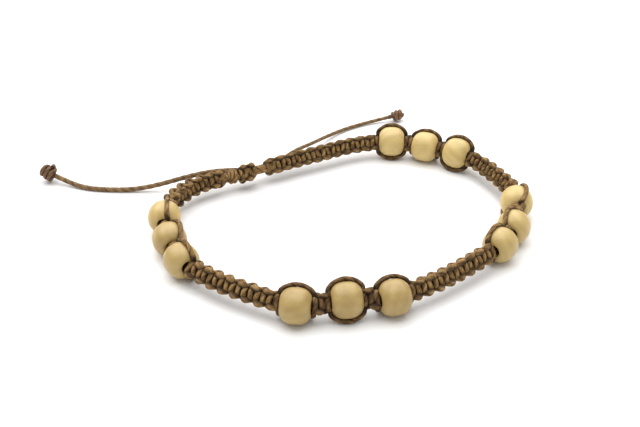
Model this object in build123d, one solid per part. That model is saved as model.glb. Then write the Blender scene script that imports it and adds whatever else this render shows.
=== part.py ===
from build123d import *
import math
import os

# A macrame anklet of waxed cord with twelve wooden beads, lying on a flat surface. Millimetres.
# +Z is up, +X runs to the right and +Y away from the front. The origin is on the surface, below the
# middle of the loop. Angles about the cord's line are measured from straight up, and grow outwards.

# Beads
bead_d = 8.0
bead_flat_d = 4.3
bead_hole_d = 3.0
bead_rim_r = 0.35

# Cords
cord_d = 1.1
core_d = 1.5
neck_d = 1.9
wrap_cord_d = 0.85
tail_d = 1.2

# Knotted bands
band_width = 4.75
band_thickness = 3.0
half_knot_length = 1.4
edge_relief = 0.5
face_relief = 0.35
band_height = 4.1
section_power = 2.5
section_points = 12
rings_per_half_knot = 3

# Gaps between the pieces
gap = 0.12
band_gap = 0.25
bead_gap = 0.6

# Closure and stopper knots
closure_knot_length = 5.0
closure_knot_d = 5.1
closure_knot_turns = 3
wrap_turns = 2
left_stopper_length = 4.4
left_stopper_d = 4.4
right_stopper_length = 4.0
right_stopper_d = 3.2
stopper_turns = 2

# Beads in the order of the loop. over and under are where the two side cords pass round the bead, and
# lean is the side of its hole that the bead has slid to, by the share slack of the hole's play.
bead_table = {
    #  name:    (over, under, lean, slack)
    "left_1": (-12, -140, 180, 0.0),
    "left_2": (-37, -134, 150, 0.3),
    "left_3": (-18, -140, 150, 0.3),
    "front_1": (-42, -132, 120, 0.6),
    "front_2": (-33, 146, 0, 0.0),
    "front_3": (-40, -134, 130, 0.6),
    "right_1": (-26, -140, 150, 0.3),
    "right_2": (-26, -137, 150, 0.3),
    "right_3": (26, -138, 180, 0.2),
    "back_1": (33, -145, 180, 0.0),
    "back_2": (40, 134, 180, 0.3),
    "back_3": (33, -146, 0, 0.0),
}

# Groups of three beads, with the lengths of the two short knots between them in half knots
group_table = {
    #  name: (first knot, second knot)
    "left": (1.2, 1.0),
    "front": (2.1, 1.7),
    "right": (0.6, 2.5),
    "back": (0.95, 1.0),
}

# The route of the core cord, once round from the left of the closure to its right. roll is where the
# band's upper edge points. A row with a bead's name takes its height from that bead.
route_table = [
    #  x,     y,   roll, bead
    (-30.5, 16.6, 33, ""),
    (-34.8, 14.8, 28, ""),
    (-38.3, 12.1, 14, ""),
    (-41.2, 8.1, 0, ""),
    (-42.9, 3.4, -10, ""),
    (-43.7, -1.7, -20, "left_1"),
    (-40.7, -10.9, -45, "left_2"),
    (-37.1, -20.0, -36, "left_3"),
    (-32.5, -23.9, -33, ""),
    (-27.1, -27.8, -33, ""),
    (-21.3, -31.1, -33, ""),
    (-15.9, -33.8, -36, ""),
    (-10.7, -36.0, -40, "front_1"),
    (-5.2, -35.1, -36, ""),
    (0.0, -34.1, -33, "front_2"),
    (10.0, -33.0, -36, "front_3"),
    (15.1, -30.3, -33, ""),
    (20.9, -26.7, -33, ""),
    (26.7, -22.1, -35, ""),
    (31.9, -17.6, -38, ""),
    (36.3, -13.3, -40, "right_1"),
    (40.7, -5.8, -38, "right_2"),
    (43.5, 5.0, 24, "right_3"),
    (42.9, 12.2, 36, ""),
    (40.7, 16.8, 34, ""),
    (38.5, 21.2, 33, ""),
    (35.7, 25.8, 33, ""),
    (31.5, 29.4, 33, "back_1"),
    (23.2, 33.9, 36, "back_2"),
    (14.3, 36.1, 33, "back_3"),
    (7.7, 35.6, 33, ""),
    (1.7, 33.6, 33, ""),
    (-4.7, 30.1, 33, ""),
    (-11.5, 26.7, 33, ""),
    (-20.5, 21.6, 33, ""),
]

# The cords between the band ends, from the right end to the left
neck_route = [
    #  x,    y,    z
    (-23.3, 20.17, 4.1),
    (-27.5, 18.06, 3.9),
]
closure_knot_place = 0.42
wrap_place = 0.79

# The loose tails, from the closure knot to the stopper knot
left_tail_route = [
    #  x,    y,    z
    (-28.2, 20.8, 4.1),
    (-31.0, 20.2, 4.3),
    (-33.7, 19.2, 4.6),
    (-37.3, 17.8, 4.6),
    (-41.3, 17.2, 3.8),
    (-45.7, 17.1, 2.4),
    (-50.5, 16.9, 1.2),
    (-55.7, 16.6, 0.63),
    (-61.1, 16.7, 0.61),
    (-66.5, 17.5, 0.62),
    (-70.9, 19.4, 0.95),
    (-74.9, 21.1, 2.0),
]
right_tail_route = [
    #  x,    y,    z
    (-22.7, 22.5, 3.5),
    (-20.5, 24.3, 3.0),
    (-17.9, 26.2, 3.0),
    (-15.3, 28.0, 3.6),
    (-13.3, 29.8, 4.2),
    (-11.2, 32.4, 4.1),
    (-8.6, 36.2, 3.2),
    (-5.7, 41.2, 2.0),
    (-2.5, 46.1, 1.0),
    (1.6, 50.2, 0.63),
    (6.5, 53.3, 0.61),
    (11.1, 55.3, 0.85),
    (14.9, 56.1, 1.5),
]
run_share = 0.45

up = Vector(0, 0, 1)
bead_length = math.sqrt(bead_d**2 - bead_flat_d**2)
ring_r = bead_d / 2 + gap + cord_d / 2


def bead_height(name):
    """Centre height of a bead, which stands on the surface or on the side cord that passes below it."""
    over, under, lean, slack = bead_table[name]
    cord_reach = ring_r * max(-math.cos(math.radians(over)), -math.cos(math.radians(under))) + cord_d / 2
    return max(bead_d / 2, cord_reach)


def bead_play(name):
    """Sideways and upward shift of a bead on its core."""
    over, under, lean, slack = bead_table[name]
    play = slack * ((bead_hole_d - core_d) / 2 - gap)
    return play * math.sin(math.radians(lean)), play * math.cos(math.radians(lean))


def smooth_path(points, diameter, label):
    """Straight runs joined by tangent arcs, each arc as large as its two runs allow."""
    radii = []
    for before, corner, after in zip(points, points[1:], points[2:]):
        first = Vector(*corner) - Vector(*before)
        second = Vector(*after) - Vector(*corner)
        half_turn = math.radians(first.get_angle(second)) / 2
        radii.append(run_share * min(first.length, second.length) / math.tan(half_turn))
    print(f"{label}: radii in diameters", " ".join(f"{r / diameter:.0f}" for r in radii))
    return FilletPolyline(points, radius=radii).wire()


route_points = []
for x, y, roll, name in route_table:
    z = bead_height(name) - bead_play(name)[1] if name else band_height
    route_points.append((x, y, z))
route = smooth_path(route_points, core_d, "core cord")
route_length = route.length

# Where each row of the table lies along the route, for the roll in between
row_stations = [0]
travelled = 0
for edge in route.edges():
    if edge.geom_type == GeomType.CIRCLE:
        row_stations.append(travelled + edge.length / 2)
    travelled += edge.length
row_stations.append(route_length)


def point_at(station):
    return route.position_at(station / route_length)


def roll_at(station):
    """Roll between two rows of the route table, in degrees."""
    for k in range(len(row_stations) - 1):
        if station <= row_stations[k + 1]:
            break
    share = (station - row_stations[k]) / (row_stations[k + 1] - row_stations[k])
    share = min(max(share, 0), 1)
    return route_table[k][2] * (1 - share) + route_table[k + 1][2] * share


def radial(tangent, angle):
    """Unit vector square to the tangent, at an angle from straight up that grows outwards."""
    outward = tangent.cross(up).normalized()
    upward = outward.cross(tangent).normalized()
    turn = math.radians(angle)
    return upward * math.cos(turn) + outward * math.sin(turn)


def frame_at(station):
    """Centre, width direction and thickness direction of the band at a station."""
    tangent = route.tangent_at(station / route_length)
    roll = roll_at(station)
    return point_at(station), radial(tangent, roll), radial(tangent, roll + 90)


def band_ring(station, half_knots):
    """One ring of points of a band, half_knots being its distance along the band in half knots."""
    centre, across, through = frame_at(station)
    thickness = band_thickness / 2 - face_relief * (1 + math.cos(2 * math.pi * half_knots)) / 2
    points = []
    for k in range(section_points):
        turn = 2 * math.pi * k / section_points
        side = math.copysign(1, math.cos(turn))
        width = band_width / 2 - edge_relief * (1 - side * math.cos(math.pi * half_knots)) / 2
        w = side * width * abs(math.cos(turn)) ** (2 / section_power)
        t = math.copysign(thickness, math.sin(turn)) * abs(math.sin(turn)) ** (2 / section_power)
        points.append(centre + across * w + through * t)
    return points


def knotted_length(start, end):
    """A solid stretch of square knots from one station to another."""
    half_knots = max(1, round((end - start) / half_knot_length))
    steps = half_knots * rings_per_half_knot
    rings = []
    for k in range(steps + 1):
        rings.append(band_ring(start + (end - start) * k / steps, k / rings_per_half_knot))
    faces = [Face(Wire.make_polygon(rings[0])), Face(Wire.make_polygon(rings[-1]))]
    for ring, following in zip(rings, rings[1:]):
        for k in range(section_points):
            n = (k + 1) % section_points
            faces.append(Face(Wire.make_polygon([ring[k], ring[n], following[n]])))
            faces.append(Face(Wire.make_polygon([ring[k], following[n], following[k]])))
    return Solid(Shell(faces))


def tube(path, diameter):
    """A round tube along a path."""
    start = Plane(origin=path @ 0, z_dir=path % 0)
    return sweep(start * Circle(diameter / 2), path=path)


def bead_axis(station):
    """Line of a bead's hole, from the route at its two ends."""
    first = point_at(station - bead_length / 2)
    last = point_at(station + bead_length / 2)
    middle = (first + last) * 0.25 + point_at(station) * 0.5
    return middle, (last - first).normalized()


def bead_plane(name, station):
    """The bead's own frame: z along its hole, x straight up as far as the hole allows."""
    middle, tangent = bead_axis(station)
    sideways, upward = bead_play(name)
    centre = middle + radial(tangent, 90) * sideways
    centre.Z = bead_height(name)
    return Plane(origin=centre, x_dir=radial(tangent, 0), z_dir=tangent)


def bead(name, station):
    """A round bead with two flats, drilled, and with its edges softened."""
    flat_r = bead_flat_d / 2
    hole_r = bead_hole_d / 2
    rim_r = min(bead_rim_r, 0.6 * (flat_r - hole_r))
    with BuildSketch(Plane.XZ) as half:
        with BuildLine():
            Polyline((flat_r, -bead_length / 2), (hole_r, -bead_length / 2), (hole_r, bead_length / 2),
                     (flat_r, bead_length / 2))
            ThreePointArc((flat_r, bead_length / 2), (bead_d / 2, 0), (flat_r, -bead_length / 2))
        make_face()
        fillet(half.vertices(), rim_r)
    return bead_plane(name, station) * revolve(half.sketch, Axis.Z)


def side_cord(plane, angle):
    """The cord round one side of a bead, from the knot before it to the knot after it."""
    end_radius = core_d / 2
    reach = math.sqrt(ring_r**2 - end_radius**2)
    side = radial(plane.z_dir, angle)
    places = [(end_radius, -reach), (ring_r, 0), (end_radius, reach)]
    points = [plane.origin + side * out + plane.z_dir * along for out, along in places]
    return tube(Wire([Edge.make_three_point_arc(*points)]), cord_d)


def cord_coil(plane, turns, length, outer_d, bore_d):
    """A knot seen from outside: rounded turns of cord side by side, with or without a bore."""
    turn_length = length / turns
    valley_r = outer_d / 2 - cord_d / 2
    with BuildSketch(Plane.XZ) as half:
        with BuildLine():
            Polyline((valley_r, -length / 2), (bore_d / 2, -length / 2), (bore_d / 2, length / 2),
                     (valley_r, length / 2))
            for k in range(turns):
                top = length / 2 - k * turn_length
                ThreePointArc((valley_r, top), (outer_d / 2, top - turn_length / 2), (valley_r, top - turn_length))
        make_face()
    return plane * revolve(half.sketch, Axis.Z)


# Stations of the beads and of the ends of the bands
bead_stations = {}
group_ends = {}
for group, (first_knot, second_knot) in group_table.items():
    names = [f"{group}_{k}" for k in (1, 2, 3)]
    middle_row = [row[3] for row in route_table].index(names[1])
    middle = row_stations[middle_row]
    pitch = bead_length + 2 * bead_gap
    bead_stations[names[0]] = middle - pitch - first_knot * half_knot_length
    bead_stations[names[1]] = middle
    bead_stations[names[2]] = middle + pitch + second_knot * half_knot_length
    cuff = bead_length / 2 + bead_gap + half_knot_length
    group_ends[group] = (bead_stations[names[0]] - cuff, bead_stations[names[2]] + cuff)

pieces = {}
planes = {name: bead_plane(name, station) for name, station in bead_stations.items()}
for name, station in bead_stations.items():
    pieces[f"bead_{name}"] = bead(name, station)

# The core cord runs through everything but the closure
core_bore = tube(route, core_d + 2 * gap)
pieces["core_cord"] = tube(route, core_d)

# Side cords and short knots of each group, in one piece
for group, (start, end) in group_ends.items():
    names = [f"{group}_{k}" for k in (1, 2, 3)]
    bead_end = bead_length / 2 + bead_gap
    knot_spans = [(start, start + half_knot_length)]
    for before, after in zip(names, names[1:]):
        knot_spans.append((bead_stations[before] + bead_end, bead_stations[after] - bead_end))
    knot_spans.append((end - half_knot_length, end))
    piece = knotted_length(*knot_spans[0])
    for span in knot_spans[1:]:
        piece += knotted_length(*span)
    for name in names:
        over, under, lean, slack = bead_table[name]
        piece += side_cord(planes[name], over)
        piece += side_cord(planes[name], under)
    pieces[f"bead_cords_{group}"] = piece - core_bore

# Long bands between the groups
band_spans = {
    "band_back_left": (0, group_ends["left"][0] - band_gap),
    "band_front_left": (group_ends["left"][1] + band_gap, group_ends["front"][0] - band_gap),
    "band_front_right": (group_ends["front"][1] + band_gap, group_ends["right"][0] - band_gap),
    "band_right_back": (group_ends["right"][1] + band_gap, group_ends["back"][0] - band_gap),
    "band_back": (group_ends["back"][1] + band_gap, route_length),
}
for name, (start, end) in band_spans.items():
    pieces[name] = knotted_length(start, end) - core_bore
    print(f"{name}: {end - start:.1f} mm long")

# The closure: cords between the two band ends, through the sliding knot and the wrap beside it
route_end = point_at(route_length)
neck_start = route_end + (route % 1) * band_gap
neck_stop = point_at(0) - (route % 0) * band_gap
neck = smooth_path([tuple(neck_start)] + neck_route + [tuple(neck_stop)], neck_d, "closure cords")
pieces["closure_cords"] = tube(neck, neck_d)
neck_bore_d = neck_d + 2.5 * gap


def neck_plane(share):
    """Plane square to the closure cords, at a share of their length."""
    return Plane(origin=neck @ share, z_dir=neck % share)


pieces["closure_knot"] = cord_coil(neck_plane(closure_knot_place), closure_knot_turns, closure_knot_length,
                                   closure_knot_d, neck_bore_d)
pieces["closure_wrap"] = cord_coil(neck_plane(wrap_place), wrap_turns, wrap_turns * cord_d,
                                   neck_bore_d + 2 * wrap_cord_d, neck_bore_d)

# The tails, each with its stopper knot
stoppers = {
    #  side: (route, length, diameter)
    "left": (left_tail_route, left_stopper_length, left_stopper_d),
    "right": (right_tail_route, right_stopper_length, right_stopper_d),
}
for side, (tail_route, stopper_length, stopper_d) in stoppers.items():
    tail = smooth_path(tail_route, tail_d, f"tail {side}")
    pieces[f"tail_{side}"] = tube(tail, tail_d)
    print(f"tail {side}: {tail.length:.1f} mm long")
    stopper_place = (tail @ 1) + (tail % 1) * (gap + stopper_length / 2)
    stopper_plane = Plane(origin=stopper_place, z_dir=tail % 1)
    pieces[f"tail_knot_{side}"] = cord_coil(stopper_plane, stopper_turns, stopper_length, stopper_d, 0)

# The origin is on the surface, below the middle of everything but the tails
box = Compound([piece for name, piece in pieces.items() if not name.startswith("tail")]).bounding_box()
to_origin = Pos(-box.center().X, -box.center().Y, -box.min.Z)
print("moved by", to_origin.position)

os.makedirs("parts", exist_ok=True)
for name, piece in pieces.items():
    placed = to_origin * piece
    print(name, len(placed.solids()), "solids", round(placed.volume, 2), placed.is_valid)
    export_step(placed, f"parts/{name}.step")
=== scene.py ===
import math
import random

import bpy
import numpy as np
from mathutils import Matrix, Vector


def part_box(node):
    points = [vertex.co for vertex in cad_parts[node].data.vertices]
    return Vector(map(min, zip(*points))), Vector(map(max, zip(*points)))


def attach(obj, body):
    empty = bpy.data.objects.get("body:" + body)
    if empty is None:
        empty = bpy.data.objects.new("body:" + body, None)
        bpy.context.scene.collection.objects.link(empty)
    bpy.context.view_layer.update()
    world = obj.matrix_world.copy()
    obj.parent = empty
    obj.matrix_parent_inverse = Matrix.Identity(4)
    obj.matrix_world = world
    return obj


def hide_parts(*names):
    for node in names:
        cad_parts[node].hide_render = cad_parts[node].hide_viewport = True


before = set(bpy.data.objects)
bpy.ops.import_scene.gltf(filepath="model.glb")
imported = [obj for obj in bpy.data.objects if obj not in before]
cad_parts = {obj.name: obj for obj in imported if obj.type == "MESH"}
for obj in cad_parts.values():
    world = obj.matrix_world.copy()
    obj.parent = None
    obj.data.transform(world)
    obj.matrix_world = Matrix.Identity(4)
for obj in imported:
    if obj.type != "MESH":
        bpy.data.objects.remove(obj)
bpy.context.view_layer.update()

mm = 0.001
up = Vector((0, 0, 1))
dice = random.Random(11)

# Steps between two control points of a long smooth line
lineSteps = 24

# What the knotted cord is like, in mm. A full square knot is two half knots.
weave = {
    "cord": 1.42,
    "beadCord": 1.12,
    "edge": 1.5,
    "shortEdge": 1.66,
    "depth": 0.8,
    "halfKnot": 1.5,
    "shortKnot": 1.22,
    "slant": 0.1,
    "loose": 0.08,
    "core": 1.15,
    "coreApart": 0.52,
    "sides": 12,
    "plies": 2,
    "plyDepth": 0.1,
    "plyPitch": 4.6,
    "ring": 0.27,
}

# How a working cord leaves its knot, bows round a bead and is pulled thin there, in mm and degrees
beadPass = {
    "lead": 0.15,
    "edge": 0.98,
    "face": 0.35,
    "spread": 26,
    "swingOver": 2.6,
    "swingPower": 2.5,
    "thinFrom": 2.6,
    "thinOver": 1.5,
}

# How much of the painted knot shade the inner side of a cord loses where it is away from the core, in mm
# and as a share
beadShadeRelief = {"from": 3, "over": 1.2, "share": 0.75}

# How far before the loop's start the knots begin, and how far short of its end they stop, in mm
loopEnds = {"start": 0.35, "end": 0.4}

# How a working cord goes from one half knot to the next: along the band, as a share of the distance
# between them, then out from the middle and through to the other face, as shares of edge and depth
edgeLoop = [
    #  ahead, across, through
    (-0.2, 0.7, 0.2),
    (0.06, 0.88, 1.1),
    (0.5, 1.12, 1.8),
    (0.94, 0.88, 1.1),
    (1.2, 0.8, 0.1),
]

beadShape = {
    "diameter": 8.0,
    "length": 6.75,
    "hole": 3.0,
    "flat": 4.3,
    "rim": 0.3,
    "fullness": 2.6,
    "standOff": -0.05,
    "cordGap": 0.0,
}

# Over and under are where the two cords pass each bead, in degrees from straight up, growing outwards
beadCordAngles = {
    #  name: (over, under, height of the core above the bead's middle in mm)
    "left_1": (-12, -140, 0.0),
    "left_2": (-37, -134, 0.16),
    "left_3": (-18, -140, 0.16),
    "front_1": (-42, -132, 0.19),
    "front_2": (-33, 146, 0.0),
    "front_3": (-40, -134, 0.24),
    "right_1": (-26, -140, 0.16),
    "right_2": (-26, -137, 0.16),
    "right_3": (26, -138, 0.13),
    "back_1": (33, -145, 0.0),
    "back_2": (40, 134, 0.13),
    "back_3": (33, -146, 0.0),
}
# Painted light: how much paler each bead is painted, palest towards the back, nearer the light
beadPaintedLight = {
    "left_1": 0.75, "left_2": 0.15, "left_3": 0.25,
    "front_1": 0.0, "front_2": 0.05, "front_3": 0.0,
    "right_1": 0.5, "right_2": 0.6, "right_3": 0.95,
    "back_1": 0.95, "back_2": 1.0, "back_3": 1.0,
}
groups = ("left", "front", "right", "back")
longBands = ("band_back_left", "band_front_left", "band_front_right", "band_right_back", "band_back")

# The line that beads and knots are threaded on, once round, in mm.
# Roll is where a band's upper edge points, in degrees from straight up.
bandHeight = 4.1
loopRoute = [
    #  x, y, roll, bead
    (-30.5, 16.6, 33, ""),
    (-34.8, 14.8, 28, ""),
    (-38.3, 12.1, 14, ""),
    (-41.2, 8.1, 0, ""),
    (-42.9, 3.4, -10, ""),
    (-43.7, -1.7, -20, "left_1"),
    (-40.7, -10.9, -45, "left_2"),
    (-37.1, -20.0, -36, "left_3"),
    (-32.5, -23.9, -33, ""),
    (-27.1, -27.8, -33, ""),
    (-21.3, -31.1, -33, ""),
    (-15.9, -33.8, -36, ""),
    (-10.7, -36.0, -40, "front_1"),
    (-5.2, -35.1, -36, ""),
    (0.0, -34.1, -33, "front_2"),
    (10.0, -33.0, -36, "front_3"),
    (15.1, -30.3, -33, ""),
    (20.9, -26.7, -33, ""),
    (26.7, -22.1, -35, ""),
    (31.9, -17.6, -38, ""),
    (36.3, -13.3, -40, "right_1"),
    (40.7, -5.8, -38, "right_2"),
    (43.5, 5.0, 24, "right_3"),
    (42.9, 12.2, 36, ""),
    (40.7, 16.8, 34, ""),
    (38.5, 21.2, 33, ""),
    (35.7, 25.8, 33, ""),
    (31.5, 29.4, 33, "back_1"),
    (23.2, 33.9, 36, "back_2"),
    (14.3, 36.1, 33, "back_3"),
    (7.7, 35.6, 33, ""),
    (1.7, 33.6, 33, ""),
    (-4.7, 30.1, 33, ""),
    (-11.5, 26.7, 33, ""),
    (-20.5, 21.6, 33, ""),
]

# The two loose tails, in mm
tails = {
    "tail_left": {
        "stopper": "tail_knot_left",
        "cord": 1.3,
        "route": [
            (-28.2, 20.8, 4.1),
            (-31.0, 20.2, 4.3),
            (-33.7, 19.2, 4.6),
            (-37.3, 17.8, 4.6),
            (-41.3, 17.2, 3.8),
            (-45.7, 17.1, 2.4),
            (-50.5, 16.9, 1.2),
            (-55.7, 16.6, 0.63),
            (-61.1, 16.7, 0.61),
            (-66.5, 17.5, 0.62),
            (-70.9, 19.4, 0.95),
            (-74.9, 21.1, 2.0),
        ],
        "coil": {"cord": 1.27, "radius": 1.4, "length": 3.0, "turns": 2.6, "stub": 2.3, "stubTurn": 20},
    },
    "tail_right": {
        "stopper": "tail_knot_right",
        "cord": 1.04,
        "route": [
            (-22.7, 22.5, 3.5),
            (-20.5, 24.3, 3.0),
            (-17.9, 26.2, 3.0),
            (-15.3, 28.0, 3.6),
            (-13.3, 29.8, 4.2),
            (-11.2, 32.4, 4.1),
            (-8.6, 36.2, 3.2),
            (-5.7, 41.2, 2.0),
            (-2.5, 46.1, 1.0),
            (1.6, 50.2, 0.63),
            (6.5, 53.3, 0.61),
            (11.1, 55.3, 0.85),
            (14.9, 56.1, 1.5),
        ],
        "coil": {"cord": 1.25, "radius": 0.95, "length": 2.8, "turns": 2.6, "stub": 1.2, "stubTurn": 120},
    },
}


def clearSelection():
    if bpy.context.object and bpy.context.object.mode != "OBJECT":
        bpy.ops.object.mode_set(mode="OBJECT")
    bpy.ops.object.select_all(action="DESELECT")


def splinePoints(points, resolution=6):
    # points of a smooth NURBS line through these control points
    curve = bpy.data.curves.new("line", "CURVE")
    curve.dimensions = "3D"
    curve.resolution_u = resolution
    spline = curve.splines.new("NURBS")
    spline.points.add(len(points) - 1)
    for place, point in zip(spline.points, points):
        place.co = (*point, 1)
    spline.order_u = 3
    spline.use_endpoint_u = True
    line = bpy.data.objects.new("line", curve)
    mesh = bpy.data.meshes.new_from_object(line)
    places = np.array([v.co[:] for v in mesh.vertices])
    bpy.data.objects.remove(line)
    bpy.data.curves.remove(curve)
    bpy.data.meshes.remove(mesh)
    return places


def evenPoints(points, step):
    # the same line with its points one step apart
    runs = np.linalg.norm(np.diff(points, axis=0), axis=1)
    points = points[np.concatenate(([True], runs > 1e-9))]
    along = np.concatenate(([0], np.cumsum(np.linalg.norm(np.diff(points, axis=0), axis=1))))
    count = max(2, int(math.ceil(along[-1] / step)) + 1)
    wanted = np.linspace(0, along[-1], count)
    return np.column_stack([np.interp(wanted, along, points[:, k]) for k in range(3)]), wanted


class Loop:
    # the line through the beads, with the way the band lies at each place along it
    def __init__(self):
        controls = []
        for x, y, roll, bead in loopRoute:
            z = bandHeight
            if bead:
                low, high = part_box(f"bead_{bead}")
                z = (low[2] + high[2]) / 2 / mm + beadCordAngles[bead][2]
            controls.append((x * mm, y * mm, z * mm))
        self.points, self.along = evenPoints(splinePoints(controls, lineSteps), 0.2 * mm)
        self.length = self.along[-1]
        rows = [self.nearest(Vector(point)) for point in controls]
        self.rolls = np.interp(self.along, rows, [row[2] for row in loopRoute])

    def nearest(self, point):
        gaps = np.linalg.norm(self.points - np.array(point), axis=1)
        return float(self.along[int(gaps.argmin())])

    def at(self, station):
        inside = min(max(station, 0), self.length)
        place = Vector([np.interp(inside, self.along, self.points[:, k]) for k in range(3)])
        reach = 0.4 * mm
        before, after = max(inside - reach, 0), min(inside + reach, self.length)
        ends = [[np.interp(s, self.along, self.points[:, k]) for k in range(3)] for s in (before, after)]
        tangent = (Vector(ends[1]) - Vector(ends[0])).normalized()
        roll = float(np.interp(inside, self.along, self.rolls))
        return place + tangent * (station - inside), tangent, roll


def radial(tangent, angle):
    outward = tangent.cross(up).normalized()
    upward = outward.cross(tangent).normalized()
    turn = math.radians(angle)
    return upward * math.cos(turn) + outward * math.sin(turn)


# The rounded end of a cord: its width and how far out, as shares of the cord's width
domeSteps = ((0.8, 0.2), (0.4, 0.32))


def tubeParts(points, diameter, phase=0.0, sides=None, ring=None, plyDepth=None,
              domes=(True, True), thin=None):
    # a twisted two-ply cord along these points, as vertices, faces and UVs (mm along, turns round)
    # thin gives the diameter's share at each place, for a cord that is pulled tighter in some places
    sides = sides or weave["sides"]
    plyDepth = weave["plyDepth"] if plyDepth is None else plyDepth
    centres, along = evenPoints(np.array(points), (ring or weave["ring"]) * mm)
    count = len(centres)
    tangents = np.gradient(centres, axis=0)
    tangents /= np.linalg.norm(tangents, axis=1)[:, None]
    helper = np.array([0.0, 0.0, 1.0]) if abs(tangents[0][2]) < 0.9 else np.array([1.0, 0.0, 0.0])
    side = np.cross(tangents[0], helper)
    side /= np.linalg.norm(side)
    frames = np.empty((count, 2, 3))
    for k in range(count):
        side = side - tangents[k] * np.dot(side, tangents[k])
        side /= np.linalg.norm(side)
        frames[k, 0] = side
        frames[k, 1] = np.cross(tangents[k], side)
    turns = np.linspace(0, 1, sides, endpoint=False)
    twist = along / mm / weave["plyPitch"] + phase
    ply = np.abs(np.cos(math.pi * weave["plies"] * (turns[None, :] - twist[:, None])))
    radii = diameter / 2 * mm * (1 - plyDepth * (1 - ply) ** 1.5)
    if thin:
        radii *= thin(centres)[:, None]
    angle = 2 * math.pi * turns
    rings = (centres[:, None, :] + radii[:, :, None] * (
        np.cos(angle)[None, :, None] * frames[:, None, 0, :]
        + np.sin(angle)[None, :, None] * frames[:, None, 1, :]))
    layers = [rings[k] for k in range(count)]
    marks = list(along / mm)
    for end, dome in ((0, domes[0]), (-1, domes[1])):
        if not dome:
            continue
        outwards = tangents[end] * (-1 if end == 0 else 1)
        for shrink, push in domeSteps:
            layer = centres[end] + (rings[end] - centres[end]) * shrink + outwards * push * diameter * mm
            if end == 0:
                layers.insert(0, layer)
                marks.insert(0, marks[0])
            else:
                layers.append(layer)
                marks.append(marks[-1])
    vertices = np.concatenate(layers)
    marks = np.array(marks)
    faces, uvs = [], []
    for k in range(len(layers) - 1):
        for j in range(sides):
            n = (j + 1) % sides
            faces.append((k * sides + j, k * sides + n, (k + 1) * sides + n, (k + 1) * sides + j))
            v0, v1 = j / sides, (j + 1) / sides
            uvs.extend(((marks[k], v0), (marks[k], v1), (marks[k + 1], v1), (marks[k + 1], v0)))
    for k, turn in ((0, 1), (len(layers) - 1, -1)):
        cap = [k * sides + j for j in range(sides)][::-turn]
        faces.append(tuple(cap))
        uvs.extend((marks[k], j / sides) for j in range(sides))
    return vertices, faces, np.array(uvs)


def cordObject(name, strands, *materials, core=None):
    # several strands in one mesh: each is its points, its diameter, and what else tubeParts takes
    # core is the line that the knots are tied round, for telling the outside of a knot from its middle,
    # where shade is painted
    allVertices, allFaces, allUvs, slots = [], [], [], []
    first = 0
    for strand in strands:
        phase = dice.random()
        how = strand.get("how", {})
        vertices, faces, uvs = tubeParts(strand["points"], strand["diameter"], phase, **how)
        allVertices.append(vertices)
        allFaces.extend(tuple(v + first for v in face) for face in faces)
        uvs[:, 1] -= phase
        allUvs.append(uvs)
        slots.extend([strand.get("material", 0)] * len(faces))
        first += len(vertices)
    mesh = bpy.data.meshes.new(name)
    mesh.from_pydata(np.concatenate(allVertices).tolist(), [], allFaces)
    layer = mesh.uv_layers.new(name="CordUV")
    layer.data.foreach_set("uv", np.concatenate(allUvs).astype(np.float32).ravel())
    mesh.polygons.foreach_set("use_smooth", [True] * len(mesh.polygons))
    for material in materials:
        mesh.materials.append(material)
    mesh.polygons.foreach_set("material_index", slots)
    mesh.update()
    outside = [1.0] * len(mesh.vertices)
    if core is not None:
        for k, vertex in enumerate(mesh.vertices):
            nearest = core[((core - np.array(vertex.co)) ** 2).sum(axis=1).argmin()]
            away = vertex.co - Vector(nearest)
            outside[k] = vertex.normal.dot(away.normalized())
            # a cord on a bead lies clear of the knots, so its inner side gets less painted shade
            onBead = min(max((away.length / mm - beadShadeRelief["from"]) / beadShadeRelief["over"], 0), 1)
            outside[k] += (1 - outside[k]) * onBead * beadShadeRelief["share"]
    mark = mesh.attributes.new("outside", "FLOAT", "POINT")
    mark.data.foreach_set("value", np.array(outside, dtype=np.float32))
    piece = bpy.data.objects.new(name, mesh)
    bpy.context.collection.objects.link(piece)
    return piece


def jitter(amount):
    return dice.uniform(-amount, amount)


def newGroup(name, inputs, outputs):
    group = bpy.data.node_groups.new(name, "ShaderNodeTree")
    for socketName, kind, value in inputs:
        socket = group.interface.new_socket(name=socketName, in_out="INPUT", socket_type=kind)
        socket.default_value = value
    for socketName, kind in outputs:
        group.interface.new_socket(name=socketName, in_out="OUTPUT", socket_type=kind)
    return group, group.nodes.new("NodeGroupInput"), group.nodes.new("NodeGroupOutput")


def mathNode(nodes, operation, a=None, b=None, links=None, clamp=False):
    node = nodes.new("ShaderNodeMath")
    node.operation = operation
    node.use_clamp = clamp
    for k, value in enumerate((a, b)):
        if value is None:
            continue
        if isinstance(value, (int, float)):
            node.inputs[k].default_value = value
        else:
            links.new(value, node.inputs[k])
    return node.outputs[0]


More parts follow.
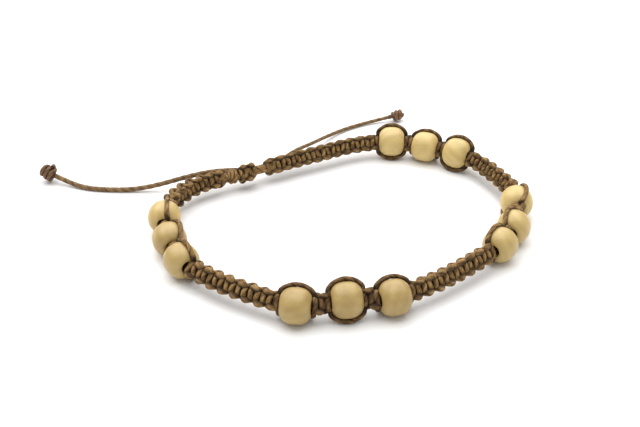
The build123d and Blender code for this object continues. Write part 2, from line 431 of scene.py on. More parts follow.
def makePlyGroup():
    # the valleys between the plies, which the material darkens with painted shade, and fine fibres along
    # them, from mm along and turns round the cord
    group, given, result = newGroup(
        "cordPly",
        [("Plies", "NodeSocketFloat", 2.0), ("Pitch", "NodeSocketFloat", 4.6),
         ("Fibre Scale", "NodeSocketFloat", 9.0)],
        [("Groove", "NodeSocketFloat"), ("Fibre", "NodeSocketFloat"), ("Mottle", "NodeSocketFloat"),
         ("Height", "NodeSocketFloat")])
    nodes, links = group.nodes, group.links
    uv = nodes.new("ShaderNodeUVMap")
    uv.uv_map = "CordUV"
    split = nodes.new("ShaderNodeSeparateXYZ")
    links.new(uv.outputs[0], split.inputs[0])
    alongTurns = mathNode(nodes, "DIVIDE", split.outputs[0], given.outputs["Pitch"], links)
    twisted = mathNode(nodes, "SUBTRACT", split.outputs[1], alongTurns, links)
    plyTurns = mathNode(nodes, "MULTIPLY", twisted, given.outputs["Plies"], links)
    wave = mathNode(nodes, "COSINE", mathNode(nodes, "MULTIPLY", plyTurns, math.pi, links), None, links)
    ridge = mathNode(nodes, "ABSOLUTE", wave, None, links)
    groove = mathNode(nodes, "POWER", mathNode(nodes, "SUBTRACT", 1.0, ridge, links), 2.0, links)
    # fibres lie along the twist, so their pattern is long that way and narrow round the cord
    place = nodes.new("ShaderNodeCombineXYZ")
    links.new(mathNode(nodes, "MULTIPLY", split.outputs[0], 0.55, links), place.inputs[0])
    links.new(mathNode(nodes, "MULTIPLY", twisted, given.outputs["Fibre Scale"], links), place.inputs[1])
    fibre = nodes.new("ShaderNodeTexNoise")
    fibre.inputs["Scale"].default_value = 1.0
    fibre.inputs["Detail"].default_value = 3.0
    links.new(place.outputs[0], fibre.inputs["Vector"])
    coords = nodes.new("ShaderNodeTexCoord")
    mottle = nodes.new("ShaderNodeTexNoise")
    mottle.inputs["Scale"].default_value = 760.0
    mottle.inputs["Detail"].default_value = 3.0
    links.new(coords.outputs["Object"], mottle.inputs["Vector"])
    height = mathNode(nodes, "SUBTRACT", mathNode(nodes, "MULTIPLY", fibre.outputs[0], 0.5, links),
                      mathNode(nodes, "MULTIPLY", groove, 0.8, links), links)
    links.new(groove, result.inputs["Groove"])
    links.new(fibre.outputs[0], result.inputs["Fibre"])
    links.new(mottle.outputs[0], result.inputs["Mottle"])
    links.new(height, result.inputs["Height"])
    return group


def mixColours(nodes, links, factor, first, second):
    node = nodes.new("ShaderNodeMix")
    node.data_type = "RGBA"
    links.new(factor, node.inputs[0])
    for socket, value in ((node.inputs[6], first), (node.inputs[7], second)):
        if isinstance(value, tuple):
            socket.default_value = (*value, 1)
        else:
            links.new(value, socket)
    return node.outputs[2]


def cordMaterial(name, look, ply):
    material = bpy.data.materials.new(name)
    material.use_nodes = True
    nodes, links = material.node_tree.nodes, material.node_tree.links
    shader = nodes["Principled BSDF"]
    plies = nodes.new("ShaderNodeGroup")
    plies.node_tree = ply
    plies.inputs["Plies"].default_value = weave["plies"]
    plies.inputs["Pitch"].default_value = weave["plyPitch"]
    plies.inputs["Fibre Scale"].default_value = look["fibres"]
    # golden where the wax is thin, browner elsewhere, and painted shade dark down between the plies
    patches = nodes.new("ShaderNodeMapRange")
    patches.inputs["From Min"].default_value = 0.36
    patches.inputs["From Max"].default_value = 0.66
    links.new(plies.outputs["Mottle"], patches.inputs["Value"])
    base = mixColours(nodes, links, patches.outputs[0], look["brown"], look["golden"])
    streaks = nodes.new("ShaderNodeMapRange")
    streaks.inputs["From Min"].default_value = 0.48
    streaks.inputs["From Max"].default_value = 0.7
    streaks.inputs["To Max"].default_value = look["streaks"]
    links.new(plies.outputs["Fibre"], streaks.inputs["Value"])
    fibreStreaked = mixColours(nodes, links, streaks.outputs[0], base, look["pale"])
    # painted shade in the valleys between the plies
    grooveShade = mathNode(nodes, "MULTIPLY", plies.outputs["Groove"], look["grooveShade"], links, True)
    grooveShaded = mixColours(nodes, links, grooveShade, fibreStreaked, look["dark"])
    # painted shade: the cord is darkened where it turns in towards the middle of a knot
    mark = nodes.new("ShaderNodeAttribute")
    mark.attribute_name = "outside"
    inwardShade = nodes.new("ShaderNodeMapRange")
    inwardShade.interpolation_type = "SMOOTHSTEP"
    inwardShade.inputs["From Min"].default_value = 0.9
    inwardShade.inputs["From Max"].default_value = 0.15
    inwardShade.inputs["To Max"].default_value = look["paintedKnotShade"]
    links.new(mark.outputs["Fac"], inwardShade.inputs["Value"])
    knotShaded = mixColours(nodes, links, inwardShade.outputs[0], grooveShaded, look["dark"])
    links.new(knotShaded, shader.inputs["Base Color"])
    gloss = nodes.new("ShaderNodeMapRange")
    gloss.inputs["To Min"].default_value = look["roughness"] - 0.08
    gloss.inputs["To Max"].default_value = look["roughness"] + 0.12
    links.new(plies.outputs["Fibre"], gloss.inputs["Value"])
    links.new(gloss.outputs[0], shader.inputs["Roughness"])
    bump = nodes.new("ShaderNodeBump")
    bump.inputs["Strength"].default_value = look["bump"]
    bump.inputs["Distance"].default_value = 0.12 * mm
    links.new(plies.outputs["Height"], bump.inputs["Height"])
    links.new(bump.outputs[0], shader.inputs["Normal"])
    shader.inputs["Specular IOR Level"].default_value = look["gloss"]
    shader.inputs["Sheen Weight"].default_value = look["sheen"]
    shader.inputs["Sheen Roughness"].default_value = 0.5
    shader.inputs["Sheen Tint"].default_value = (0.85, 0.75, 0.6, 1)
    return material


def woodMaterial():
    wood = {"pale": (0.46, 0.325, 0.118), "warm": (0.39, 0.265, 0.088), "grain": (0.28, 0.17, 0.055),
            "palest": (0.66, 0.49, 0.19), "roughness": 0.34}
    material = bpy.data.materials.new("paleWood")
    material.use_nodes = True
    nodes, links = material.node_tree.nodes, material.node_tree.links
    shader = nodes["Principled BSDF"]
    place = nodes.new("ShaderNodeAttribute")
    place.attribute_name = "grainPlace"
    cloud = nodes.new("ShaderNodeTexNoise")
    cloud.inputs["Scale"].default_value = 0.32
    cloud.inputs["Detail"].default_value = 3.0
    links.new(place.outputs["Vector"], cloud.inputs["Vector"])
    clouds = nodes.new("ShaderNodeMapRange")
    clouds.inputs["From Min"].default_value = 0.38
    clouds.inputs["From Max"].default_value = 0.66
    links.new(cloud.outputs[0], clouds.inputs["Value"])
    clouded = mixColours(nodes, links, clouds.outputs[0], wood["pale"], wood["warm"])
    # painted light: the beads towards the back are mixed towards the palest colour
    tone = nodes.new("ShaderNodeAttribute")
    tone.attribute_name = "beadLightTone"
    base = mixColours(nodes, links, tone.outputs["Fac"], clouded, wood["palest"])
    # growth rings seen as soft bands, and short pores along the grain
    stretch = nodes.new("ShaderNodeMapping")
    stretch.inputs["Scale"].default_value = (0.9, 0.9, 0.12)
    links.new(place.outputs["Vector"], stretch.inputs["Vector"])
    rings = nodes.new("ShaderNodeTexWave")
    rings.wave_type = "RINGS"
    rings.rings_direction = "Z"
    rings.inputs["Scale"].default_value = 0.16
    rings.inputs["Distortion"].default_value = 3.0
    rings.inputs["Detail"].default_value = 2.0
    rings.inputs["Detail Scale"].default_value = 1.2
    links.new(stretch.outputs[0], rings.inputs["Vector"])
    soft = mathNode(nodes, "MULTIPLY", rings.outputs["Fac"], 0.16, links)
    ringed = mixColours(nodes, links, soft, base, wood["grain"])
    pores = nodes.new("ShaderNodeTexNoise")
    pores.inputs["Scale"].default_value = 3.4
    pores.inputs["Detail"].default_value = 4.0
    links.new(stretch.outputs[0], pores.inputs["Vector"])
    flecks = nodes.new("ShaderNodeMapRange")
    flecks.inputs["From Min"].default_value = 0.58
    flecks.inputs["From Max"].default_value = 0.78
    flecks.inputs["To Max"].default_value = 0.35
    links.new(pores.outputs[0], flecks.inputs["Value"])
    flecked = mixColours(nodes, links, flecks.outputs[0], ringed, wood["grain"])
    links.new(flecked, shader.inputs["Base Color"])
    gloss = nodes.new("ShaderNodeMapRange")
    gloss.inputs["To Min"].default_value = wood["roughness"] - 0.06
    gloss.inputs["To Max"].default_value = wood["roughness"] + 0.12
    links.new(pores.outputs[0], gloss.inputs["Value"])
    links.new(gloss.outputs[0], shader.inputs["Roughness"])
    bump = nodes.new("ShaderNodeBump")
    bump.inputs["Strength"].default_value = 0.12
    bump.inputs["Distance"].default_value = 0.06 * mm
    links.new(pores.outputs[0], bump.inputs["Height"])
    links.new(bump.outputs[0], shader.inputs["Normal"])
    shader.inputs["Subsurface Weight"].default_value = 0.08
    shader.inputs["Subsurface Radius"].default_value = (0.0012, 0.0008, 0.0004)
    shader.inputs["Subsurface Scale"].default_value = 1.0
    return material


def modelBead():
    # a turned bead: a ball cut flat at both ends, drilled through, its edges rounded
    radius = beadShape["diameter"] / 2 * mm
    half = beadShape["length"] / 2 * mm
    hairline = 0.01 * mm
    clearSelection()
    bpy.ops.mesh.primitive_uv_sphere_add(segments=48, ring_count=28, radius=radius)
    bead = bpy.context.object
    bead.name = "beadModel"
    # fuller than a ball near its ends, as a turned bead is
    flatRadius = beadShape["flat"] / 2 * mm
    power = beadShape["fullness"]
    reach = half / (1 - (flatRadius / radius) ** power) ** (1 / power)
    for vertex in bead.data.vertices:
        share = math.hypot(vertex.co.x, vertex.co.y) / radius
        height = reach * max(0.0, 1 - share ** power) ** (1 / power)
        vertex.co.z = math.copysign(height, vertex.co.z)
    bpy.ops.object.mode_set(mode="EDIT")
    for end in (1, -1):
        bpy.ops.mesh.select_all(action="SELECT")
        bpy.ops.mesh.bisect(plane_co=(0, 0, end * half), plane_no=(0, 0, end),
                            clear_outer=True, use_fill=True)
    bpy.ops.object.mode_set(mode="OBJECT")
    mesh = bead.data
    for polygon in mesh.polygons:
        polygon.select = abs(polygon.normal.z) > 0.99 and abs(abs(polygon.center.z) - half) < hairline
    bpy.ops.object.mode_set(mode="EDIT")
    bpy.ops.mesh.select_mode(type="FACE")
    bpy.ops.mesh.inset(thickness=flatRadius - beadShape["hole"] / 2 * mm)
    bpy.ops.mesh.bridge_edge_loops(number_cuts=6)
    bpy.ops.object.mode_set(mode="OBJECT")
    for edge in mesh.edges:
        ends = [mesh.vertices[v].co for v in edge.vertices]
        level = all(abs(abs(v.z) - half) < hairline for v in ends)
        around = abs(ends[0].xy.length - ends[1].xy.length) < 0.05 * mm
        edge.select = level and around
    bpy.ops.object.mode_set(mode="EDIT")
    bpy.ops.mesh.select_mode(type="EDGE")
    bpy.ops.mesh.bevel(offset=beadShape["rim"] * mm, segments=4, profile=0.5, affect="EDGES")
    bpy.ops.mesh.select_all(action="SELECT")
    bpy.ops.mesh.remove_doubles(threshold=0.002 * mm)
    bpy.ops.mesh.normals_make_consistent(inside=False)
    bpy.ops.object.mode_set(mode="OBJECT")
    clearSelection()
    return bead


fullTurn = 6.28


def placeBead(model, name, centre, tangent, material):
    mesh = model.data.copy()
    mesh.name = f"turned_bead_{name}"
    places = np.array([v.co[:] for v in mesh.vertices])
    # each bead is cut from its own piece of wood
    tilt = Matrix.Rotation(dice.uniform(0, fullTurn), 3, "X")
    grainTurn = tilt @ Matrix.Rotation(dice.uniform(0, fullTurn), 3, "Z")
    grainShift = np.array([dice.uniform(20, 400) for _ in range(3)])
    grain = mesh.attributes.new("grainPlace", "FLOAT_VECTOR", "POINT")
    grainPlaces = places / mm @ np.array(grainTurn).T + grainShift
    grain.data.foreach_set("vector", grainPlaces.astype(np.float32).ravel())
    # painted light: the bead is painted paler the nearer it lies to the back, where the light is
    tone = mesh.attributes.new("beadLightTone", "FLOAT", "POINT")
    tone.data.foreach_set("value", [beadPaintedLight[name]] * len(mesh.vertices))
    side = radial(tangent, 0)
    turned = Matrix((side, tangent.cross(side), tangent)).transposed().to_4x4()
    spin = Matrix.Rotation(dice.uniform(0, fullTurn), 4, "Z")
    mesh.transform(Matrix.Translation(centre) @ turned @ spin)
    mesh.polygons.foreach_set("use_smooth", [True] * len(mesh.polygons))
    mesh.materials.append(material)
    piece = bpy.data.objects.new(f"turned_bead_{name}", mesh)
    bpy.context.collection.objects.link(piece)
    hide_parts(f"bead_{name}")
    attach(piece, "root")


class KnotMaker:
    # the control points of the two working cords, given to the node that each belongs to
    def __init__(self, placeAt, edge, depth, step, slant, loose):
        self.placeAt = placeAt
        self.edge, self.depth, self.step = edge, depth, step
        self.slant, self.loose = slant, loose
        self.front, self.back = [], []
        self.count = 0

    def add(self, cord, node, station, across, through):
        across = across * self.edge + jitter(self.loose)
        through = through * self.depth + jitter(self.loose)
        station = station + jitter(self.loose)
        cord.append((node, self.placeAt(station * mm, across * mm, through * mm)))

    def halfKnot(self, node, station, following, loopAfter=True):
        # one cord crosses the front and the other the back, and they change sides at the edges
        self.count += 1
        side = 1 if self.count % 2 else -1
        lean = self.slant * self.step
        for cord, edge, face in ((self.front, side, 1), (self.back, -side, -1)):
            self.add(cord, node, station - lean, -edge * 0.6, face)
            self.add(cord, node, station + lean, edge * 0.6, face)
            if loopAfter:
                for ahead, across, through in edgeLoop:
                    there = station + ahead * (following - station)
                    self.add(cord, node, there, edge * across, -face * through)
        return side


def strandsByNode(controls):
    # cut one long cord where it passes from one node to the next, so that the cut ends meet
    pieces = []
    start = 0
    for k in range(1, len(controls) + 1):
        if k < len(controls) and controls[k][0] == controls[start][0]:
            continue
        points = [place for node, place in controls[start:k]]
        if start > 0:
            points.insert(0, (controls[start - 1][1] + controls[start][1]) / 2)
        if k < len(controls):
            points.append((controls[k - 1][1] + controls[k][1]) / 2)
        pieces.append((controls[start][0], points))
        start = k
    return pieces


def aroundBead(maker, cord, node, centre, tangent, angle, edgeAngles):
    # a cord bowed round one side of a bead, from the knot before it to the knot after it
    radius = beadShape["diameter"] / 2 + beadShape["cordGap"] + weave["beadCord"] / 2
    spread = beadPass["spread"]
    for k in range(-2, 3):
        turn = math.radians(k * spread)
        target = edgeAngles[0] if k < 0 else edgeAngles[1]
        swing = (target - angle + 180) % 360 - 180
        share = (abs(k) / beadPass["swingOver"]) ** beadPass["swingPower"]
        side = radial(tangent, angle + swing * share)
        out = radius / math.cos(math.radians(spread / 2))
        place = centre + (side * out * math.cos(turn) + tangent * out * math.sin(turn)) * mm
        cord.append((node, place))


def tieLoop(loop, beads):
    # tie the whole loop in one go, from the left of the closure round to its right
    narrowing = {"bead": "left_1", "reach": 7.0, "share": 0.24}
    narrowEnd = beads[narrowing["bead"]]["station"]

    def placeAt(station, across, through):
        place, tangent, roll = loop.at(station)
        near = 1 - (narrowEnd - station) / mm / narrowing["reach"]
        if near > 0 and station < narrowEnd:
            across *= 1 - narrowing["share"] * min(near * 2, 1)
        return place + radial(tangent, roll) * across + radial(tangent, roll + 90) * through

    maker = KnotMaker(placeAt, weave["edge"], weave["depth"], weave["halfKnot"],
                      weave["slant"], weave["loose"])
    half = beadShape["length"] / 2 + beadShape["standOff"]
    order = [f"{group}_{k}" for group in groups for k in (1, 2, 3)]
    start = -loopEnds["start"]
    for index in range(len(order) + 1):
        last = index == len(order)
        end = loop.length / mm - loopEnds["end"] if last else beads[order[index]]["station"] / mm - half
        inGroup = 0 < index < len(order) and index % 3
        count = max(2, round((end - start) / weave["shortKnot" if inGroup else "halfKnot"]))
        step = (end - start) / count
        maker.edge = weave["shortEdge" if inGroup else "edge"]
        for k in range(count):
            station = start + (k + 0.5) * step
            if inGroup:
                node = f"bead_cords_{groups[index // 3]}"
            elif k == 0 and index > 0:
                node = f"bead_cords_{groups[(index - 1) // 3]}"
            elif k == count - 1 and not last:
                node = f"bead_cords_{groups[index // 3]}"
            else:
                node = longBands[index // 3]
            side = maker.halfKnot(node, station, station + step, loopAfter=k < count - 1)
        if last:
            break
        name = order[index]
        bead = beads[name]
        node = f"bead_cords_{name.rsplit('_', 1)[0]}"
        over, under = beadCordAngles[name][:2]
        knotEnd, nextStart = end, end + 2 * half
        rolls = [loop.at(s * mm)[2] for s in (knotEnd, nextStart)]
        for cord, edge in ((maker.front, side), (maker.back, -side)):
            face = beadPass["face"] if cord is maker.front else -beadPass["face"]
            maker.add(cord, node, knotEnd - beadPass["lead"], edge * beadPass["edge"], face)
            angle = over if edge > 0 else under
            edgeAngles = [roll if edge > 0 else roll + 180 for roll in rolls]
            aroundBead(maker, cord, node, bead["centre"], bead["tangent"], angle, edgeAngles)
            maker.add(cord, node, nextStart + beadPass["lead"], edge * beadPass["edge"], face)
        start = nextStart
    return maker


def makeKnottedCords(loop, beads, material, shadedMaterial):
    # painted shade: the cords round the front and back beads get the darker copy of the waxed cord
    darker = ("bead_cords_front", "bead_cords_back")

    def thinAtBeads(places):
        # thick in the knots, close to the line, and thin where it is pulled round a bead
        near = loop.points[::4]
        away = np.array([np.sqrt(((near - place) ** 2).sum(axis=1).min()) for place in places]) / mm
        share = np.clip((away - beadPass["thinFrom"]) / beadPass["thinOver"], 0, 1)
        return 1 - (1 - weave["beadCord"] / weave["cord"]) * share

    maker = tieLoop(loop, beads)
    strands = {}
    for cord in (maker.front, maker.back):
        pieces = strandsByNode(cord)
        for k, (node, points) in enumerate(pieces):
            how = {"domes": (k == 0, k == len(pieces) - 1), "thin": thinAtBeads}
            line = splinePoints(points)
            strands.setdefault(node, []).append({"points": line, "diameter": weave["cord"], "how": how})
    for node, own in strands.items():
        shadedOrPlain = shadedMaterial if node in darker else material
        piece = cordObject(f"tied_{node}", own, shadedOrPlain, core=loop.points[::2])
        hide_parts(node)
        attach(piece, "root")
    print("knotted cords:", len(strands), "pieces,", maker.count, "half knots")


# The two core strands: how far apart their control points are, and how they wander, in mm
coreShape = {
    "step": 2.5,
    "sideways": 0.06,
    "through": 0.08,
    "sides": 10,
    "ring": 0.4,
}


def makeCore(loop, material):
    # two core strands side by side, with a slow wander
    strands = []
    for side in (-1, 1):
        controls = []
        for station in np.arange(0, loop.length, coreShape["step"] * mm):
            place, tangent, roll = loop.at(station)
            shift = side * weave["coreApart"] + jitter(coreShape["sideways"])
            wander = jitter(coreShape["through"])
            aside = radial(tangent, roll) * shift * mm
            controls.append(place + aside + radial(tangent, roll + 90) * wander * mm)
        strands.append({"points": splinePoints(controls), "diameter": weave["core"],
                        "how": {"sides": coreShape["sides"], "ring": coreShape["ring"]}})
    piece = cordObject("core_strands", strands, material)
    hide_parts("core_cord")
    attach(piece, "root")


# The cords between the band ends, the sliding knot on them and the small wrap beside it, in mm
neckRoute = [
    (-23.3, 20.17, 4.1),
    (-27.5, 18.06, 3.9),
]
closure = {
    "knobPlace": 0.42,
    "knobHalfKnots": 4,
    "knobStep": 1.15,
    "knobEdge": 1.75,
    "knobDepth": 1.35,
    "knobCord": 1.3,
    "knobTaper": 0.15,
    "knobSlant": 0.22,
    "knobLoose": 0.1,
    "knobRing": 0.22,
    "wrapPlace": 0.79,
    "wrapTurns": 2,
    "wrapCord": 0.95,
    "wrapRadius": 1.46,
    "wrapEnds": 0.72,
    "bundle": 1.25,
    "bundleSpread": 0.68,
    "bundleStrands": 4,
    "bundleSides": 10,
    "bundleTurn": 0.12,
    "bundleInside": 2.2,
    "roll": 33,
}


def makeClosure(loop, material, tailMaterial):
    ends = [loop.at(loop.length)[0], loop.at(0)[0]]
    controls = [ends[0]] + [Vector(p) * mm for p in neckRoute] + [ends[1]]
    neck, along = evenPoints(splinePoints(controls, lineSteps), 0.1 * mm)

    def frameAt(distance):
        inside = min(max(distance, 0), along[-1])
        place = Vector([np.interp(inside, along, neck[:, k]) for k in range(3)])
        reach = 0.3 * mm
        pair = [[np.interp(min(max(s, 0), along[-1]), along, neck[:, k]) for k in range(3)]
                for s in (inside - reach, inside + reach)]
        tangent = (Vector(pair[1]) - Vector(pair[0])).normalized()
        return place + tangent * (distance - inside), tangent

    def placeAt(distance, across, through):
        place, tangent = frameAt(distance)
        roll = closure["roll"]
        return place + radial(tangent, roll) * across - radial(tangent, roll + 90) * through

    # the bundle of core strands between the two bands
    strands = []
    squeeze = closure["bundleSpread"] * mm
    inside = closure["bundleInside"] * mm
    for k in range(closure["bundleStrands"]):
        turn = math.radians(45 + 90 * k)
        controls = []
        for distance in np.linspace(-inside, along[-1] + inside, 8):
            turn += closure["bundleTurn"]
            controls.append(placeAt(distance, squeeze * math.cos(turn), squeeze * math.sin(turn)))
        strands.append({"points": splinePoints(controls), "diameter": closure["bundle"],
                        "how": {"sides": closure["bundleSides"]}})
    bundle = cordObject("closure_bundle", strands, material)
    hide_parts("closure_cords")

    # the sliding knot
    middle = along[-1] / mm * closure["knobPlace"]
    knobHalf = closure["knobHalfKnots"] * closure["knobStep"] / 2

    def placeOnKnob(distance, across, through):
        swell = 1 - closure["knobTaper"] * ((distance / mm - middle) / knobHalf) ** 2
        return placeAt(distance, across * swell, through * swell)

    maker = KnotMaker(placeOnKnob, closure["knobEdge"], closure["knobDepth"], closure["knobStep"],
                      closure["knobSlant"], closure["knobLoose"])
    maker.count = 1
    first = middle - (closure["knobHalfKnots"] - 1) / 2 * closure["knobStep"]
    for k in range(closure["knobHalfKnots"]):
        station = first + k * closure["knobStep"]
        maker.halfKnot("knob", station, station + closure["knobStep"], k < closure["knobHalfKnots"] - 1)
    strands = []
    for cord in (maker.front, maker.back):
        points = [place for node, place in cord]
        strands.append({"points": splinePoints(points), "diameter": closure["knobCord"],
                        "how": {"ring": closure["knobRing"]}})
    # each tail comes out of the knot
    core = frameAt(middle * mm)[0]
    for facts in tails.values():
        start, following = (Vector(p) * mm for p in facts["route"][:2])
        back = (start - following).normalized()
        inside = core.lerp(start, 0.3)
        points = [inside, inside.lerp(start, 0.5) + back * 0.8 * mm, start + back * 0.9 * mm, start]
        strands.append({"points": splinePoints(points), "diameter": facts["cord"], "material": 1})
    knob = cordObject("sliding_knot", strands, material, tailMaterial, core=neck[::4])
    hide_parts("closure_knot")

    # the small wrap beside it
    controls = []
    wrapMiddle = along[-1] / mm * closure["wrapPlace"]
    wrapWidth = closure["wrapCord"] * closure["wrapTurns"]
    perTurn = 8
    total = closure["wrapTurns"] * perTurn
    for k in range(-2, total + 3):
        turn = 2 * math.pi * k / perTurn
        distance = wrapMiddle + (min(max(k, 0), total) / total - 0.5) * wrapWidth
        radius = closure["wrapRadius"] / math.cos(math.pi / perTurn)
        if k < 0 or k > total:
            radius *= closure["wrapEnds"]
        across, through = radius * math.cos(turn) * mm, radius * math.sin(turn) * mm
        controls.append(placeAt(distance * mm, across, through))
    strand = {"points": splinePoints(controls), "diameter": closure["wrapCord"]}
    wrap = cordObject("closure_wrapping", [strand], material)
    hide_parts("closure_wrap")
    for piece in (bundle, knob, wrap):
        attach(piece, "root")
    print("closure:", round(along[-1] / mm, 1), "mm between the bands")


# How a stopper knot is coiled: where it starts on the tail in mm, how uneven its turns are, and how
# wide the first and last turns are, as shares of the full width
stopperShape = {
    "lead": 1.1,
    "startTurn": 150,
    "uneven": 0.05,
    "firstTurn": 0.45,
    "lastTurn": 0.6,
    "growth": 0.2,
    "sides": 14,
    "ring": 0.2,
}


def makeStopper(name, facts, end, tangent, material):
    # stands for an overhand knot: the cord turns back over itself in a coil and ends in a short stub
    coil = facts["coil"]
    sideways = radial(tangent, 90)
    upward = radial(tangent, 0)
    perTurn = 7
    steps = int(round(coil["turns"] * perTurn))

    def place(ahead, out, turn):
        angle = math.radians(turn)
        return end + (tangent * ahead + (upward * math.cos(angle) + sideways * math.sin(angle)) * out) * mm

    half = coil["length"] / 2
    middle = half + stopperShape["lead"]
    controls = [place(-0.3, 0, 0), place(0.6, 0.05, 0), place(middle, 0.3, 200),
                place(middle + half + 0.3, 0.45, 180)]
    radius = coil["radius"] / math.cos(math.pi / perTurn)
    startTurn = stopperShape["startTurn"]
    for k in range(steps + 1):
        turn = startTurn + 360 * k / perTurn
        ahead = middle + half - coil["length"] * k / steps
        # the turns draw in at both ends, but the coil is hollow and its free end stays open
        opening = stopperShape["firstTurn"] + stopperShape["growth"] * k
        closing = stopperShape["lastTurn"] + stopperShape["growth"] * (steps - k)
        swell = radius * (1 + jitter(stopperShape["uneven"])) * min(1, opening, closing)
        controls.append(place(ahead, swell, turn))
    lastTurn = startTurn + 360 * steps / perTurn
    controls.append(place(middle - half - 0.1, radius * 0.9, lastTurn + 40))
    controls.append(place(middle - half * 0.4, radius + 0.3, coil["stubTurn"]))
    controls.append(place(middle - half * 0.7, coil["stub"], coil["stubTurn"]))
    strand = {"points": splinePoints(controls), "diameter": coil["cord"],
              "how": {"sides": stopperShape["sides"], "ring": stopperShape["ring"]}}
    middleLine = np.array([place(middle + half * share, 0, 0) for share in (-1, -0.5, 0, 0.5, 1)])
    piece = cordObject(name, [strand], material, core=middleLine)
    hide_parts(facts["stopper"])
    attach(piece, "root")
    return piece


def makeTails(material, stopperMaterial):
    for name, facts in tails.items():
        controls = [Vector(p) * mm for p in facts["route"]]
        line, along = evenPoints(splinePoints(controls, lineSteps), 0.25 * mm)
        strand = {"points": line, "diameter": facts["cord"],
                  "how": {"sides": 20, "ring": 0.25, "plyDepth": 0.13}}
        cord = cordObject(f"{name}_cord", [strand], material)
        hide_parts(name)
        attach(cord, "root")
        tangent = Vector(line[-1] - line[-4]).normalized()
        stopper = makeStopper(f"{facts['stopper']}_tied", facts, Vector(line[-1]), tangent, stopperMaterial)
        print(name, "is", round(along[-1] / mm, 1), "mm long")


def makeStage():
    floor = {"size": 3.0, "white": 0.9, "roughness": 0.9, "gloss": 0.1}
    skyStrength = 0.42
    lights = {
        #  name: (place, size, power)
        "skyPanel": ((-0.10, 0.34, 0.74), 1.5, 18.0),
        "fillPanel": ((0.3, -0.5, 0.6), 0.9, 0.8),
    }
    clearSelection()
    bpy.ops.mesh.primitive_plane_add(size=floor["size"], location=(0, 0, 0))
    ground = bpy.context.object
    ground.name = "floor"
    material = bpy.data.materials.new("floorWhite")
    material.use_nodes = True
    shader = material.node_tree.nodes["Principled BSDF"]
    shader.inputs["Base Color"].default_value = (floor["white"], floor["white"], floor["white"], 1)
    shader.inputs["Roughness"].default_value = floor["roughness"]
    shader.inputs["Specular IOR Level"].default_value = floor["gloss"]
    ground.data.materials.append(material)
    for name, (place, size, power) in lights.items():
        data = bpy.data.lights.new(name, "AREA")
        data.size = size
        data.energy = power
        light = bpy.data.objects.new(name, data)
        light.location = place
        light.rotation_euler = (-Vector(place)).to_track_quat("-Z", "Y").to_euler()
        bpy.context.collection.objects.link(light)
    world = bpy.data.worlds.new("studio")
    world.use_nodes = True
    background = world.node_tree.nodes["Background"]
    background.inputs["Color"].default_value = (1, 1, 1, 1)
    background.inputs["Strength"].default_value = skyStrength
    bpy.context.scene.world = world
    bpy.context.scene.view_settings.view_transform = "Standard"


# The camera stands at the photo's angle, its place in mm
camera = {
    "place": (-5.59, -191.16, 128.5),
    "belowLevel": 33.06,
    "focalLength": 52.77,
    "sensorWidth": 36,
    "nearest": 0.01,
}


def makeCamera():
    data = bpy.data.cameras.new("camera")
    data.lens = camera["focalLength"]
    data.sensor_width = camera["sensorWidth"]
    data.clip_start = camera["nearest"]
    view = bpy.data.objects.new("camera", data)
    view.location = Vector(camera["place"]) * mm
    view.rotation_euler = (math.radians(90 - camera["belowLevel"]), 0, 0)
    bpy.context.collection.objects.link(view)
    bpy.context.scene.camera = view


def findBeads(loop):
    beads = {}
    half = beadShape["length"] / 2 * mm
    for group in groups:
        for k in (1, 2, 3):
            name = f"{group}_{k}"
            low, high = (Vector(corner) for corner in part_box(f"bead_{name}"))
            centre = (low + high) / 2
            station = loop.nearest(centre)
            first, last = loop.at(station - half)[0], loop.at(station + half)[0]
            beads[name] = {"centre": centre, "station": station, "tangent": (last - first).normalized()}
    return beads


makeCamera()
makeStage()
print("stage and camera ready")

plyGroup = makePlyGroup()
bandCord = cordMaterial("waxedCord", {
    "brown": (0.11, 0.056, 0.019), "golden": (0.33, 0.188, 0.064), "pale": (0.48, 0.33, 0.15),
    "dark": (0.022, 0.012, 0.006), "fibres": 9.0, "streaks": 0.75, "grooveShade": 0.6, "roughness": 0.58,
    "bump": 0.6, "sheen": 0.0, "gloss": 0.16, "paintedKnotShade": 0.85}, plyGroup)
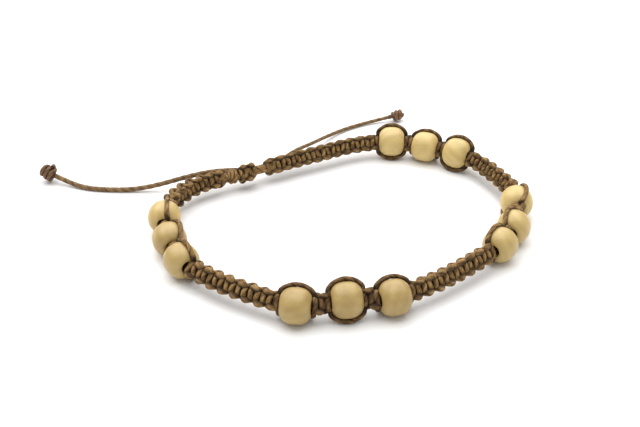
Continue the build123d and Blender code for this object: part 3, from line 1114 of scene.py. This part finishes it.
# painted shade: a darker copy of the waxed cord, for the cords round the front and back beads
shadedCord = cordMaterial("shadedWaxedCord", {
    "brown": (0.072, 0.036, 0.014), "golden": (0.2, 0.11, 0.04), "pale": (0.36, 0.235, 0.11),
    "dark": (0.014, 0.008, 0.004), "fibres": 9.0, "streaks": 0.6, "grooveShade": 0.6, "roughness": 0.58,
    "bump": 0.6, "sheen": 0.0, "gloss": 0.16, "paintedKnotShade": 0.85}, plyGroup)
# painted shade: the core strands, which show only in the gaps between the knots, are coloured much darker
# than the working cords
coreMaterial = cordMaterial("coreCord", {
    "brown": (0.05, 0.03, 0.014), "golden": (0.09, 0.055, 0.025), "pale": (0.16, 0.11, 0.06),
    "dark": (0.012, 0.008, 0.004), "fibres": 9.0, "streaks": 0.3, "grooveShade": 0.75, "roughness": 0.5,
    "bump": 0.5, "sheen": 0.0, "gloss": 0.3, "paintedKnotShade": 0.0}, plyGroup)
tailMaterial = cordMaterial("tailCord", {
    "brown": (0.14, 0.075, 0.027), "golden": (0.235, 0.138, 0.05), "pale": (0.36, 0.25, 0.125),
    "dark": (0.03, 0.018, 0.009), "fibres": 8.0, "streaks": 0.5, "grooveShade": 0.6, "roughness": 0.55,
    "bump": 0.6, "sheen": 0.0, "gloss": 0.28, "paintedKnotShade": 0.5}, plyGroup)
# painted shade: the stopper knots get a slightly darker copy of the tail cord
stopperMaterial = cordMaterial("stopperCord", {
    "brown": (0.125, 0.055, 0.024), "golden": (0.23, 0.12, 0.048), "pale": (0.36, 0.24, 0.125),
    "dark": (0.016, 0.009, 0.007), "fibres": 8.0, "streaks": 0.5, "grooveShade": 0.6, "roughness": 0.5,
    "bump": 0.6, "sheen": 0.0, "gloss": 0.3, "paintedKnotShade": 0.9}, plyGroup)

makeTails(tailMaterial, stopperMaterial)
loop = Loop()
beads = findBeads(loop)
print("loop is", round(loop.length / mm, 1), "mm long")

wood = woodMaterial()
model = modelBead()
for name, bead in beads.items():
    placeBead(model, name, bead["centre"], bead["tangent"], wood)
bpy.data.objects.remove(model)
print("beads placed")

makeCore(loop, coreMaterial)
makeKnottedCords(loop, beads, bandCord, shadedCord)
makeClosure(loop, bandCord, tailMaterial)
